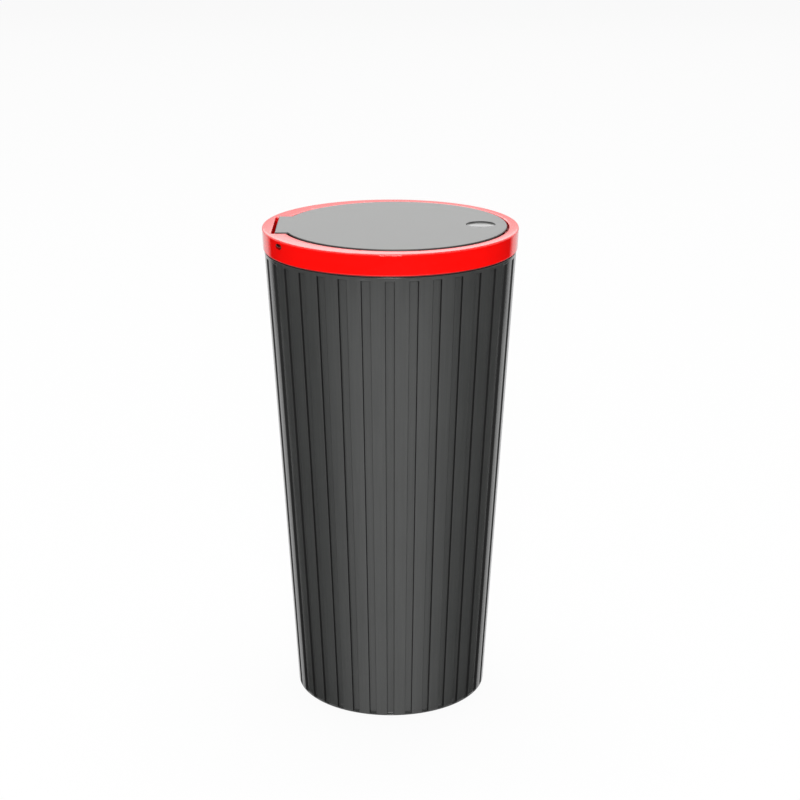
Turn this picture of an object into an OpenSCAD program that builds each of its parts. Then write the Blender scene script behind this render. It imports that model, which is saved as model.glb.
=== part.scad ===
// Car trash bin: a fluted, tapered bin for a cup holder, with a press-to-open lid in a snap-on ring.
// The origin is the centre of the foot. +Z is up, the hinge is at -X and the finger dimple at +X.

/* [Bin body] */
// Height over everything, lid closed
total_h = 163.5; // [145:0.5:190]
// Diameter at the foot
foot_d = 65.3; // [62:0.1:68]
// Wall thickness of the bin
wall = 2; // [1.8:0.05:2.2]
// Thickness of the floor
floor_t = 2.6; // [2:0.1:4]
// Radius inside, where wall and floor meet
floor_fillet = 3; // [1.5:0.5:5]
// Width of the foot ring that it stands on
foot_w = 4; // [3:0.25:6]
// Depth of the hollow under the floor
foot_hollow = 0.8; // [0.4:0.1:1.4]

/* [Flutes] */
// Number of flutes round the bin
flute_n = 34; // [24:2:44]
// Angle that one flute spans
flute_a = 4; // [3:0.25:6]
// Depth of a flute
flute_depth = 0.95; // [0.5:0.05:1.1]
// Plain band between the flutes and the shoulder
flute_band = 1.2; // [0.8:0.1:6]
// Plain rim at the foot, below the flutes
foot_rim = 0.5; // [0.3:0.1:2]

/* [Ring] */
// Outer diameter of the ring
ring_d = 85; // [84:0.25:88]
// Height of the ring's outer face
ring_h = 7.3; // [7:0.1:8.5]
// Radius that the outer face loses towards its lower edge
ring_draft = 0.32; // [0.1:0.02:0.5]
// Rounding of the ring's outer top edge
ring_edge = 0.5; // [0.3:0.1:1.2]
// Thickness of the skirt at its lower edge
skirt_t = 1; // [0.9:0.05:1.1]
// How far the ring stands proud of the bin below it
overhang = 0.4; // [0.2:0.05:0.6]
// Shadow gap between the ring and the bin's shoulder
shadow_gap = 0.4; // [0.2:0.05:0.6]
// Thickness of the ring over its cored channel
roof_t = 1.8; // [1.4:0.1:2]
// Bevel round the mouth of the lid's pocket
pocket_edge = 0.3; // [0.2:0.05:0.5]
// Number of stop ribs in the channel
rib_n = 12; // [8:2:16]
// Width of a stop rib
rib_w = 1.2; // [0.8:0.1:1.6]
// Depth of the spigot below the rim's top
spigot_h = 8; // [6:0.25:10]
// Thickness of the spigot at its lower end
spigot_t = 2.25; // [1.8:0.05:2.6]
// Width of the ring's top face where it is narrowest, beside the dimple
ring_land = 3.25; // [3.2:0.05:4.5]
// Height of the grip bead on the spigot
bead_h = 0.9; // [0.6:0.1:1.2]

/* [Lid] */
// Shift of the pocket away from the hinge
pocket_shift = 1.6; // [1.5:0.05:1.8]
// Gap round the lid
lid_gap = 0.65; // [0.6:0.05:0.9]
// Thickness of the lid
lid_t = 2.2; // [2:0.1:2.4]
// How far the lid's face stands proud of the ring's crest
lid_proud = 0.3; // [0.1:0.05:0.5]
// Bevel of the lid's top edge
lid_edge = 0.3; // [0.2:0.05:0.5]
// Radius that the lid's edge loses towards its underside
lid_draft = 0.85; // [0.75:0.05:1]
// Height of the stiffening rib under the lid
stiffener_h = 1.5; // [1:0.1:1.6]
// Thickness of the stiffening rib
stiffener_t = 1.2; // [0.8:0.1:1.6]
// Distance of the stiffening rib from the lid's edge
stiffener_inset = 3.5; // [3.3:0.1:4]
// Angle that the lid sinks when it is pressed
press_a = 1.5; // [1:0.1:1.8]

/* [Dimple] */
// Diameter of the finger dimple
dimple_d = 9.8; // [8:0.2:12]
// Height of the steep step round the dimple
dimple_step = 0.35; // [0.2:0.05:0.5]
// Depth of the dimple's dished floor at its middle
dimple_depth = 0.65; // [0.6:0.05:0.9]
// Distance of the dimple's centre from the lid's edge
dimple_inset = 8.7; // [7.5:0.1:10]

/* [Hinge] */
// Distance of the hinge pin from the ring's outer face
hinge_inset = 6.8; // [6.6:0.05:7]
// Depth of the hinge pin below the lid's face
hinge_drop = 2.4; // [2.3:0.05:2.5]
// Diameter of the hinge pin
pin_d = 2; // [1.8:0.05:2]
// Depth of the blind seat of the pin behind the notch
pin_seat = 6; // [4:0.25:8]
// Depth of the pin's near end inside its bore
pin_recess = 1.5; // [0.5:0.25:3]
// Radial clearance of the lid on the pin
pin_clear = 0.08; // [0.05:0.01:0.1]
// Width of the hinge tab
tab_w = 25; // [24:0.25:26]
// Gap at each side of the hinge tab
tab_gap = 0.2; // [0.2:0.05:0.4]
// Reach of the hinge tab past the pin
tab_reach = 1.35; // [1.2:0.05:1.4]
// Open slit behind the hinge tab
slit = 1.65; // [1.6:0.05:1.9]
// Outer radius of a knuckle
knuckle_r = 1.9; // [1.8:0.05:1.95]
// Plastic between the notch's floor and the bin's rim
notch_web = 0.95; // [0.8:0.05:1.4]

/* [Spring] */
// Wire of the torsion spring
spring_wire = 0.5; // [0.4:0.05:0.5]
// Whole turns of the torsion spring
spring_turns = 10; // [6:1:11]
// Length of the spring's coil
spring_l = 7.2; // [7:0.1:7.6]
// Length of each spring leg
spring_leg = 7; // [5:0.5:9]

/* [Latch] */
// Thickness of the latch blade
blade_t = 1.8; // [1.6:0.1:2]
// Width of the latch blade
blade_w = 7; // [6:0.25:8]
// Length of the latch blade below the lid
blade_l = 10.9; // [10.4:0.1:11.5]
// Gap between the blade and the latch wire's upright
blade_gap = 1.5; // [1.4:0.05:2]
// Depth of the cam track
track_depth = 1; // [0.8:0.05:1.1]
// Width of the cam track's lanes
lane_w = 1.1; // [1:0.05:1.2]
// Wire of the latch
latch_wire_d = 0.8; // [0.7:0.05:0.8]
// Depth of the latch wire's tip below the lid's underside
catch_drop = 5.8; // [5.6:0.1:6]
// Height of the latch wire's upright
upright_h = 8.5; // [8:0.1:9]
// Width of the tongue that holds the latch wire
tongue_w = 8; // [6:0.5:9]
// Thickness of the tongue
tongue_t = 1.7; // [1.4:0.1:1.8]

/* [Hidden] */
$fn = 96;
eps = 0.01;
beyond = 5;

// Heights, from the lid's face down
crest_z = total_h - lid_proud;
ring_bottom = crest_z - ring_h;
shoulder_z = ring_bottom - shadow_gap;
lid_top = total_h;
lid_under = lid_top - lid_t;
hinge_z = lid_top - hinge_drop;
swing_clear = 0.15;
notch_floor = hinge_z - knuckle_r - swing_clear;
rim_top = notch_floor - notch_web;
spigot_z = rim_top - spigot_h;

// Radii of ring and bin, each from its neighbour
ring_r = ring_d / 2;
ring_low_r = ring_r - ring_draft;
mouth_r = ring_low_r - overhang;
foot_r = foot_d / 2;
taper = (mouth_r - foot_r) / shoulder_z;
skirt_in_r = ring_low_r - skirt_t;
rim_clear = 0.15;
rim_r = skirt_in_r - rim_clear;
spigot_clear = 0.2;
bead_clear = 0.05;
lead_in_h = 1.2;
function out_r(z) = foot_r + taper * z;
function in_r(z) = out_r(z) - wall;
core_in_r = in_r(rim_top) - spigot_clear;
throat_r = in_r(spigot_z) - spigot_clear - spigot_t;

// Lid, pocket and hinge notch
pocket_r = ring_r - ring_land - pocket_shift;
hinge_x = ring_r - hinge_inset;
lid_r = pocket_r - lid_gap;
lid_far = pocket_shift + lid_r + hinge_x;
press_room = 0.2;
pocket_wall = 0.9;
ledge_z = lid_under - lid_far * sin(press_a) - press_room;
notch_w = tab_w + 2 * tab_gap;
notch_x = hinge_x + tab_reach + slit;
dimple_x = pocket_shift + lid_r - dimple_inset;
dimple_run = 0.3;
pin_r = pin_d / 2;
pin_back_y = notch_w / 2 + pin_seat;
pin_front_y = sqrt(ring_low_r * ring_low_r - (hinge_x + pin_r) * (hinge_x + pin_r));
block_a = atan2(sqrt(ring_r * ring_r - hinge_x * hinge_x) + 2 * pin_d, hinge_x);

// The lid's edge beside the tab has to pass over the pocket's edge as it swings
pocket_edge_x = hinge_x + pocket_shift - sqrt(pocket_r * pocket_r - notch_w * notch_w / 4);
swing_r = norm([pocket_edge_x, crest_z - hinge_z]) + swing_clear;

// Torsion spring, close round the pin
spring_gap = 0.08;
spring_r = pin_r + spring_gap + spring_wire / 2;
spring_room = 0.07;
bay_clear = 0.6;
bay_w = spring_l + spring_wire + bay_clear;
knuckle_l = (tab_w - bay_w) / 2;
spring_slot = spring_wire + 0.4;
leg_end = 1;
spring_sides = 8;
spring_steps = 16;

// Cam track, drawn round the place where the wire's tip rests
latch_r = latch_wire_d / 2;
catch_z = lid_under - catch_drop;
tongue_clear = 0.95;
tongue_out = in_r(spigot_z) - tongue_clear;
tongue_in = tongue_out - tongue_t;
wire_gap = 0.3;
upright_x = tongue_in - wire_gap - latch_r;
blade_x = upright_x - latch_r - blade_gap;
catch_clear = 0.05;
notch_v = -(latch_r * sqrt(2) + catch_clear);
lobe_x = lane_w * 0.65;
island_x = lobe_x + 0.3;
island_low = -3.2;
track_x = island_x + lane_w;
press_up = (blade_x + hinge_x) * sin(press_a);
tooth_v = press_up + latch_r + catch_clear + 0.15;
exit_x = lane_w * 0.8;
tip_end = 0.25;

// Lower end of the latch wire and its tongue
wire_low_z = catch_z - upright_h;
bend_r = latch_wire_d;
tongue_web = 1.8;
tongue_low = wire_low_z - latch_r - tongue_web;
hole_clear = 0.05;

module bin_profile() {
    fillet_z = floor_t + floor_fillet;
    fillet_x = in_r(fillet_z) - floor_fillet;
    polygon(concat(
        [[0, foot_hollow], [foot_r - foot_w, foot_hollow], [foot_r - foot_w, 0], [foot_r, 0]],
        [[mouth_r, shoulder_z], [rim_r, shoulder_z], [rim_r, rim_top], [in_r(rim_top), rim_top]],
        [for (a = [0:15:90]) [fillet_x + floor_fillet * cos(a), fillet_z - floor_fillet * sin(a)]],
        [[0, floor_t]]
    ));
}

module flutes() {
    flute_top = shoulder_z - flute_band;
    intersection() {
        rotate_extrude() polygon([
            [out_r(foot_rim) - flute_depth, foot_rim],
            [out_r(foot_rim) + beyond, foot_rim],
            [out_r(flute_top) + beyond, flute_top],
            [out_r(flute_top) - flute_depth, flute_top]
        ]);
        for (i = [0:flute_n - 1]) rotate([0, 0, 360 / flute_n * i - 90])
            translate([0, 0, -2 * beyond]) linear_extrude(total_h) polygon([
                [0, 0],
                [ring_r, -ring_r * tan(flute_a / 2)],
                [ring_r, ring_r * tan(flute_a / 2)]
            ]);
    }
}

module bin_body() {
    color("#47484b") difference() {
        rotate_extrude() bin_profile();
        flutes();
    }
}

module ring_profile() {
    bead_z = spigot_z + lead_in_h;
    bead_r = in_r(bead_z) - bead_clear;
    spigot_low_r = in_r(spigot_z) - spigot_clear;
    lip_r = pocket_r - 2 * pocket_shift - 1;
    polygon(concat(
        [[throat_r, spigot_z], [spigot_low_r, spigot_z], [bead_r, bead_z], [bead_r, bead_z + bead_h]],
        [[in_r(bead_z + 2 * bead_h) - spigot_clear, bead_z + 2 * bead_h], [core_in_r, rim_top]],
        [[skirt_in_r, rim_top], [skirt_in_r, ring_bottom], [ring_low_r, ring_bottom]],
        [for (a = [0:15:90]) [
            ring_r - ring_edge + ring_edge * cos(a),
            crest_z - ring_edge + ring_edge * sin(a)
        ]],
        [[lip_r, crest_z], [lip_r, ledge_z], [throat_r, ledge_z]]
    ));
}

// The cored channel over the rim, left solid round the hinge
module channel() {
    channel_top = crest_z - roof_t;
    difference() {
        rotate_extrude() polygon([
            [core_in_r, rim_top - eps],
            [skirt_in_r, rim_top - eps],
            [skirt_in_r, channel_top],
            [core_in_r, channel_top]
        ]);
        translate([0, 0, rim_top - beyond]) linear_extrude(total_h) polygon([
            [0, 0],
            [-2 * ring_r, -2 * ring_r * tan(block_a)],
            [-2 * ring_r, 2 * ring_r * tan(block_a)]
        ]);
        translate([pocket_shift, 0, rim_top - beyond])
            cylinder(r = pocket_r + pocket_wall, h = total_h, $fn = 144);
        for (i = [0:rib_n - 1]) rotate([0, 0, 360 / rib_n * (i + 0.5)])
            translate([0, -rib_w / 2, rim_top - beyond]) cube([ring_r, rib_w, total_h]);
    }
}

module latch_tongue() {
    difference() {
        intersection() {
            translate([tongue_in, -tongue_w / 2, tongue_low])
                cube([tongue_t + 2, tongue_w, spigot_z - tongue_low + 2]);
            cylinder(r = tongue_out, h = total_h);
        }
        translate([tongue_in - beyond, 0, wire_low_z]) rotate([0, 90, 0])
            cylinder(r = latch_r + hole_clear, h = 2 * beyond, $fn = 24);
    }
}

module lid_ring() {
    color("#e8100c") {
        difference() {
            rotate_extrude() ring_profile();
            channel();
            translate([pocket_shift, 0, ledge_z]) cylinder(r = pocket_r, h = ring_h, $fn = 144);
            translate([pocket_shift, 0, crest_z - pocket_edge])
                cylinder(r1 = pocket_r, r2 = pocket_r + 2 * pocket_edge, h = 2 * pocket_edge, $fn = 144);
            translate([-notch_x, -notch_w / 2, notch_floor]) cube([notch_x, notch_w, ring_h]);
            translate([-hinge_x, pin_back_y, hinge_z]) rotate([90, 0, 0])
                cylinder(r = pin_r, h = ring_d, $fn = 32);
            translate([-hinge_x - spring_r - spring_slot / 2, -(spring_l + spring_slot) / 2, hinge_z])
                mirror([0, 0, 1]) cube([beyond, spring_slot, spring_leg + leg_end]);
        }
        latch_tongue();
    }
}

// The disc's edge leans inward below, so that it clears the pocket as it swings
module lid_disc() {
    translate([pocket_shift, 0, 0]) rotate_extrude($fn = 144) polygon([
        [0, lid_under],
        [lid_r - lid_draft, lid_under],
        [lid_r, lid_top - lid_edge],
        [lid_r - lid_edge, lid_top],
        [0, lid_top]
    ]);
}

module lid_tab() {
    tab_end = -hinge_x - tab_reach;
    translate([0, tab_w / 2, 0]) rotate([90, 0, 0]) linear_extrude(tab_w) polygon([
        [tab_end, lid_under],
        [tab_end, lid_top - lid_edge],
        [tab_end + lid_edge, lid_top],
        [-hinge_x + 2 * beyond, lid_top],
        [-hinge_x + 2 * beyond, lid_under]
    ]);
}

// The dimple: a steep step round a gently dished floor
module dimple() {
    floor_r = dimple_d / 2 - dimple_run;
    dish = dimple_depth - dimple_step;
    translate([dimple_x, 0, lid_top]) rotate_extrude() polygon(concat(
        [for (k = [0:6]) [floor_r * k / 6, dish * k * k / 36 - dimple_depth]],
        [[dimple_d / 2, 0], [dimple_d / 2, beyond], [0, beyond]]
    ));
}

module lid_plate() {
    difference() {
        union() {
            lid_disc();
            lid_tab();
        }
        dimple();
    }
}

module stiffener() {
    r = lid_r - stiffener_inset;
    difference() {
        translate([pocket_shift, 0, lid_under - stiffener_h]) cylinder(r = r, h = stiffener_h + eps);
        translate([pocket_shift, 0, lid_under - 2 * stiffener_h]) cylinder(r = r - stiffener_t, h = 3 * stiffener_h);
        translate([-ring_r, -notch_w / 2, lid_under - 2 * stiffener_h])
            cube([ring_r - hinge_x + 2 * beyond, notch_w, 3 * stiffener_h]);
    }
}

module knuckles() {
    for (side = [-1, 1]) translate([-hinge_x, side * (tab_w - knuckle_l) / 2, hinge_z]) rotate([90, 0, 0])
        translate([0, 0, -knuckle_l / 2]) {
            cylinder(r = knuckle_r, h = knuckle_l, $fn = 32);
            cube([knuckle_r, lid_top - lid_edge - hinge_z, knuckle_l]);
        }
}

// Track in the blade's outer face: y across, z up, round the tip's place of rest
module track_outline() {
    difference() {
        polygon([
            [-track_x, -2], [-track_x, tooth_v], [-lane_w, tooth_v + 0.7], [0.3, tooth_v],
            [0.7, tooth_v + 0.6], [track_x, 1.2], [track_x, -2],
            [exit_x, island_low - 1], [exit_x, -blade_l], [-exit_x, -blade_l], [-exit_x, island_low - 1]
        ]);
        polygon([
            [0, notch_v], [lobe_x, notch_v + lobe_x], [island_x, notch_v + lobe_x - 0.3], [island_x, -1.6],
            [-0.3, island_low], [-island_x, -1.6], [-island_x, notch_v + lobe_x - 0.3],
            [-lobe_x, notch_v + lobe_x]
        ]);
    }
}

module latch_blade() {
    difference() {
        translate([blade_x - blade_t, -blade_w / 2, lid_under - blade_l]) cube([blade_t, blade_w, blade_l + eps]);
        translate([blade_x - track_depth, 0, catch_z]) rotate([90, 0, 90])
            linear_extrude(track_depth + beyond) track_outline();
    }
}

module lid() {
    color("#8f9092") difference() {
        union() {
            lid_plate();
            stiffener();
            knuckles();
            latch_blade();
        }
        translate([-hinge_x, ring_r, hinge_z]) rotate([90, 0, 0]) cylinder(r = pin_r + pin_clear, h = ring_d, $fn = 32);
        for (side = [-1, 1]) translate([-hinge_x, side * (tab_w / 2 + ring_r / 2), hinge_z]) rotate([90, 0, 0])
            translate([0, 0, -ring_r / 2]) cylinder(r = swing_r, h = ring_r, $fn = 96);
        spring_bay();
    }
}

module spring_bay() {
    bay_r = spring_r + spring_wire / 2 + spring_room;
    translate([-hinge_x - tab_reach - beyond, -bay_w / 2, hinge_z - beyond])
        cube([tab_reach + beyond + bay_r, bay_w, beyond + bay_r]);
    translate([-hinge_x, spring_l / 2 - spring_slot / 2, hinge_z])
        cube([spring_leg + leg_end, spring_slot, bay_r]);
}

module hinge_pin() {
    color("#b9bbbd") translate([-hinge_x, pin_back_y, hinge_z]) rotate([90, 0, 0])
        cylinder(r = pin_r, h = pin_back_y + pin_front_y - pin_recess, $fn = 32);
}

// One ring of points round the spring's wire, at angle a round the pin
function spring_ring(a, y, dx, dz) = [
    for (k = [0:spring_sides - 1])
        let (b = 360 * k / spring_sides, r = spring_r + spring_wire / 2 * cos(b))
        [r * cos(a) + dx, y + spring_wire / 2 * sin(b), r * sin(a) + dz]
];

module hinge_spring() {
    turn_a = 360 * spring_turns + 90;
    n = ceil(turn_a / 360 * spring_steps);
    rings = concat(
        [spring_ring(180, -spring_l / 2, 0, -spring_leg)],
        [for (i = [0:n]) spring_ring(180 - turn_a * i / n, spring_l * (i / n - 0.5), 0, 0)],
        [spring_ring(90, spring_l / 2, spring_leg, 0)]
    );
    last = (n + 2) * spring_sides;
    color("#a4a7aa") translate([-hinge_x, 0, hinge_z]) polyhedron(
        points = [for (ring = rings) for (point = ring) point],
        faces = concat(
            [[for (k = [0:spring_sides - 1]) k]],
            [[for (k = [spring_sides - 1:-1:0]) last + k]],
            [for (i = [0:n + 1]) for (k = [0:spring_sides - 1])
                let (p = i * spring_sides + k, q = i * spring_sides + (k + 1) % spring_sides)
                [p, p + spring_sides, q + spring_sides, q]]
        )
    );
}

// A quarter bend of the latch wire, from -Y round to +X of its own centre
module wire_bend() {
    rotate([0, 0, -90]) rotate_extrude(angle = 90) translate([bend_r, 0]) circle(r = latch_r, $fn = 24);
}

module wire_run(length) {
    cylinder(r = latch_r, h = length, $fn = 24);
}

module latch_wire() {
    tip_x = blade_x - track_depth + tip_end;
    foot_end = tongue_out - 0.1;
    bend_x = upright_x + bend_r;
    color("#a4a7aa") {
        translate([bend_x, 0, wire_low_z]) rotate([0, 90, 0]) wire_run(foot_end - bend_x);
        translate([bend_x, 0, wire_low_z + bend_r]) rotate([90, 0, 180]) wire_bend();
        translate([upright_x, 0, wire_low_z + bend_r]) wire_run(upright_h - 2 * bend_r);
        translate([upright_x - bend_r, 0, catch_z - bend_r]) rotate([-90, 0, 0]) wire_bend();
        translate([tip_x, 0, catch_z]) rotate([0, 90, 0]) wire_run(upright_x - bend_r - tip_x);
    }
}

bin_body();
lid_ring();
lid();
hinge_pin();
hinge_spring();
latch_wire();
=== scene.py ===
"""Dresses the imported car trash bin: a fluted charcoal cup, a glossy red ring and a press-to-open lid.

Every length is in metres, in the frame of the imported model: the origin is the centre of the foot, +Z is
up, the hinge is at -X and the finger dimple at +X.
"""

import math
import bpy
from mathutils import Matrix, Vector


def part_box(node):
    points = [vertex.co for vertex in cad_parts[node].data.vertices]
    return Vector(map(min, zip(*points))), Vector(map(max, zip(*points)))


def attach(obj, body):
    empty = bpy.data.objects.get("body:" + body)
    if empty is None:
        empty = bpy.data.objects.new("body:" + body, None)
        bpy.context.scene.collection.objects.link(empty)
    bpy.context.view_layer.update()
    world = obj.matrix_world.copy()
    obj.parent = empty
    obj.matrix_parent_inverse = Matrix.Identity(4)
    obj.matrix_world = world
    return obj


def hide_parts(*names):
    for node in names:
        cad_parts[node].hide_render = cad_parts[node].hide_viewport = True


bl_info = {
    "name": "Car Trash Bin",
    "version": (1, 0, 0),
    "blender": (4, 5, 0),
    "location": "View3D > Sidebar > Trash Bin",
    "description": "Fluted cup-holder bin with a snap-on ring and a sprung lid",
    "category": "Add Mesh",
}

import bmesh
import bpy
from bpy.props import FloatProperty, FloatVectorProperty, IntProperty, PointerProperty
from mathutils import Matrix, Vector
from mathutils.geometry import tessellate_polygon

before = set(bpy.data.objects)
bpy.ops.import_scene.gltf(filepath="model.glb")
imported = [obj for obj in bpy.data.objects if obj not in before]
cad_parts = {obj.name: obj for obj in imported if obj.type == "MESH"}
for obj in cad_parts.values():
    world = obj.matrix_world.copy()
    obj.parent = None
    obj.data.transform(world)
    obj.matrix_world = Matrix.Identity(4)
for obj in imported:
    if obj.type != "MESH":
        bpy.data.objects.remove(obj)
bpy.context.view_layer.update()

MM = 0.001
WELD = 0.002 * MM

cup_low, cup_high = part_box("bin_body")
ring_low, ring_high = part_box("lid_ring")
lid_low, lid_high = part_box("lid")
pin_low, pin_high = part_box("hinge_pin")
wire_low, wire_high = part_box("latch_wire")

HINGE = (pin_low + pin_high) / 2
HINGE_LINE = Vector((HINGE.x, 0, HINGE.z))
PIN_RADIUS = (pin_high.z - pin_low.z) / 2


def length(name, description, metres):
    return FloatProperty(name=name, description=description, default=metres, unit="LENGTH", precision=5)


def mm(name, description, millimetres):
    return length(name, description, millimetres * MM)


def angle(name, description, degrees):
    turn = math.radians(degrees)
    return FloatProperty(name=name, description=description, default=turn, subtype="ANGLE")


def share(name, description, default):
    return FloatProperty(name=name, description=description, default=default, min=0, max=1)


def power(name, description, watts):
    return FloatProperty(name=name, description=description, default=watts, unit="POWER")


def colour(name, description, default):
    return FloatVectorProperty(
        name=name, description=description, default=default, size=3, min=0, max=1, subtype="COLOR"
    )


class CupSizes(bpy.types.PropertyGroup):
    """Sizes of the fluted cup"""

    foot_radius: mm("Foot radius", "Radius of the cup at the foot", 32.65)
    mouth_radius: length("Mouth radius", "Radius of the cup at its shoulder", cup_high.x)
    shoulder: mm("Shoulder", "Height of the shoulder under the ring", 155.5)
    rim_radius: mm("Rim radius", "Outer radius of the stepped rim", 41.03)
    rim_top: length("Rim top", "Height of the rim", cup_high.z)
    wall: mm("Wall", "Thickness of the cup's wall", 2)
    floor: mm("Floor", "Height of the floor inside", 2.6)
    floor_round: mm("Floor rounding", "Radius where wall and floor meet inside", 3)
    foot_width: mm("Foot width", "Width of the foot ring", 4)
    foot_hollow: mm("Foot hollow", "Depth of the hollow under the floor", 0.8)
    flutes: IntProperty(name="Flutes", description="Number of flutes round the cup", default=34, min=3)
    flute_angle: angle("Flute angle", "Angle that one flute spans", 4)
    flute_depth: mm("Flute depth", "Depth of a flute", 0.95)
    flute_top: mm("Flute top", "Height where the flutes end", 154.3)
    foot_rim: mm("Foot rim", "Plain rim at the foot, below the flutes", 0.5)
    edge: mm("Edge", "Rounding of the flutes' edges", 0.16)
    root: mm("Root", "Rounding at the bottom of the flutes' side walls", 0.12)


class RingSizes(bpy.types.PropertyGroup):
    """Sizes of the snap-on ring"""

    radius: length("Radius", "Outer radius at the crest", ring_high.x)
    crest: length("Crest", "Height of the ring's top face", ring_high.z)
    face: mm("Face", "Height of the outer face", 7.3)
    draft: mm("Draft", "Radius that the outer face loses towards its lower edge", 0.32)
    crest_round: mm("Crest rounding", "Rounding of the outer top edge", 0.5)
    foot_round: mm("Foot rounding", "Rounding of the outer bottom edge", 0.6)
    skirt: mm("Skirt", "Thickness of the skirt at its lower edge", 1)
    roof: mm("Roof", "Thickness over the cored channel", 1.8)
    ribs: IntProperty(name="Ribs", description="Number of stop ribs in the channel", default=12, min=3)
    rib_width: mm("Rib width", "Width of a stop rib", 1.2)
    block_angle: angle("Block angle", "Half the angle left solid round the hinge", 37.16)
    pocket_radius: mm("Pocket radius", "Radius of the lid's pocket", 37.65)
    pocket_shift: mm("Pocket shift", "Shift of the pocket away from the hinge", 1.6)
    pocket_round: mm("Pocket rounding", "Rounding of the pocket's mouth", 0.3)
    pocket_wall: mm("Pocket wall", "Plastic between the pocket and the cored channel", 0.9)
    ledge: mm("Ledge", "Height of the ledge under the lid", 159.155)
    notch_width: mm("Notch width", "Width of the hinge notch", 25.4)
    notch_reach: mm("Notch reach", "Distance of the notch's back wall from the axis", 38.7)
    notch_floor: mm("Notch floor", "Height of the notch's floor", 159.05)
    throat_radius: mm("Throat radius", "Radius of the clear opening", 37.01)
    spigot_foot: mm("Spigot foot", "Height of the spigot's lower end", 150.1)
    spigot_gap: mm("Spigot gap", "Gap between spigot and cup", 0.2)
    bead: mm("Bead", "Height of the grip bead", 0.9)
    tongue_width: mm("Tongue width", "Width of the tongue that holds the catch wire", 8)
    tongue_thickness: mm("Tongue thickness", "Thickness of the tongue", 1.7)


class LidSizes(bpy.types.PropertyGroup):
    """Sizes of the lid and its catch blade"""

    radius: mm("Radius", "Radius of the lid's disc", 37)
    thickness: mm("Thickness", "Thickness of the lid", 2.2)
    edge: mm("Edge", "Rounding of the top edge", 0.35)
    draft: mm("Draft", "Radius that the edge loses towards the underside", 0.85)
    tab_width: mm("Tab width", "Width of the hinge tab", 25)
    dimple_radius: mm("Dimple radius", "Radius of the finger dimple", 4.9)
    dimple_step: mm("Dimple step", "Height of the steep step round the dimple", 0.45)
    dimple_run: mm("Dimple run", "Radius that the step loses on its way down", 0.2)
    dimple_depth: mm("Dimple depth", "Depth of the dished floor at its middle", 0.8)
    dimple_inset: mm("Dimple inset", "Distance of the dimple's centre from the edge", 8.7)
    rib_inset: mm("Rib inset", "Distance of the stiffening rib from the edge", 3.5)
    rib_height: mm("Rib height", "Height of the stiffening rib", 1.5)
    rib_thickness: mm("Rib thickness", "Thickness of the stiffening rib", 1.2)
    blade_thickness: mm("Blade thickness", "Thickness of the catch blade", 1.8)
    blade_width: mm("Blade width", "Width of the catch blade", 7)
    blade_place: mm("Blade place", "Distance of the blade's outer face from the axis", 34.21)
    track_depth: mm("Track depth", "Depth of the cam track", 1)
    lane: mm("Lane", "Width of the track's lanes", 1.1)


class HingeSizes(bpy.types.PropertyGroup):
    """Sizes of the hinge, its spring and the catch wire"""

    knuckle_radius: mm("Knuckle radius", "Outer radius of a knuckle", 1.9)
    knuckle_length: mm("Knuckle length", "Length of a knuckle", 8.35)
    bore_gap: mm("Bore gap", "Clearance of the lid on the pin", 0.08)
    swing_radius: mm("Swing radius", "Radius of the relief beside the tab", 2.95)
    pin_bevel: mm("Pin bevel", "Bevel of the pin's ends", 0.2)
    spring_wire: mm("Spring wire", "Diameter of the spring's wire", 0.5)
    coil_radius: mm("Coil radius", "Mean radius of the coil", 1.33)
    coil_length: mm("Coil length", "Length of the coil", 7.2)
    turns: IntProperty(name="Turns", description="Whole turns of the coil", default=10, min=1)
    leg: mm("Leg", "Length of each spring leg", 7)
    catch_wire: mm("Catch wire", "Diameter of the catch wire", 0.8)
    bend: mm("Bend", "Radius of the catch wire's bends", 0.8)


class Finishes(bpy.types.PropertyGroup):
    """Colours of the plastics and the steel"""

    charcoal: colour("Charcoal", "Satin plastic of the cup", (0.05, 0.0515, 0.0505))
    red: colour("Red", "Glossy plastic of the ring", (0.93, 0.003, 0.002))
    lid_grey: colour("Lid grey", "Fine-grained plastic of the lid", (0.16, 0.162, 0.158))
    steel: colour("Steel", "Drawn steel of the pin", (0.55, 0.56, 0.57))
    # Colour of the painted shade on the pin's cut end, deep in its bore
    pin_end_shade: colour("Cut steel", "Oxidised cut end of the pin", (0.05, 0.008, 0.006))
    spring_steel: colour("Spring steel", "Steel of the spring and the catch wire", (0.42, 0.43, 0.44))


class StageSettings(bpy.types.PropertyGroup):
    """Camera, floor and lamps"""

    camera_place: FloatVectorProperty(
        name="Camera place",
        description="Place of the camera",
        default=(0.00318, -0.60926, 0.29642),
        unit="LENGTH",
    )
    camera_pitch: angle("Camera pitch", "Angle of the camera below the horizon", 17.66)
    lens: FloatProperty(name="Lens", description="Focal length", default=84.42, unit="CAMERA")
    floor_size: length("Floor size", "Width of the floor", 12)
    floor_glow: share("Floor glow", "Share of plain white in the floor", 0.92)
    world_fill: share("World fill", "Strength of the even light from all round", 0.3)
    top_box: power("Top box", "Power of the lamp above", 13)
    front_box: power("Front box", "Power of the lamp in front", 18)
    back_box: power("Back box", "Power of the lamp behind", 13)
    card_start: angle("Card start", "Turn from the cup's front where the dark card starts to darken", 13)
    card_full: angle("Card full", "Turn where the card is fully dark", 38)
    card_turn: angle("Card turn", "Turn where the card ends", 72)
    card_near: mm("Card near", "Radius where the dark card starts", 33)
    card_front: length("Card front", "Reach beyond which all of the card is dark", 0.435)
    card_far: length("Card far", "Reach where the card ends", 1.5)


class TrashBin(bpy.types.PropertyGroup):
    """All settings of the car trash bin"""

    cup: PointerProperty(type=CupSizes)
    ring: PointerProperty(type=RingSizes)
    lid: PointerProperty(type=LidSizes)
    hinge: PointerProperty(type=HingeSizes)
    finishes: PointerProperty(type=Finishes)
    stage: PointerProperty(type=StageSettings)


# Paths and outlines


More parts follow.
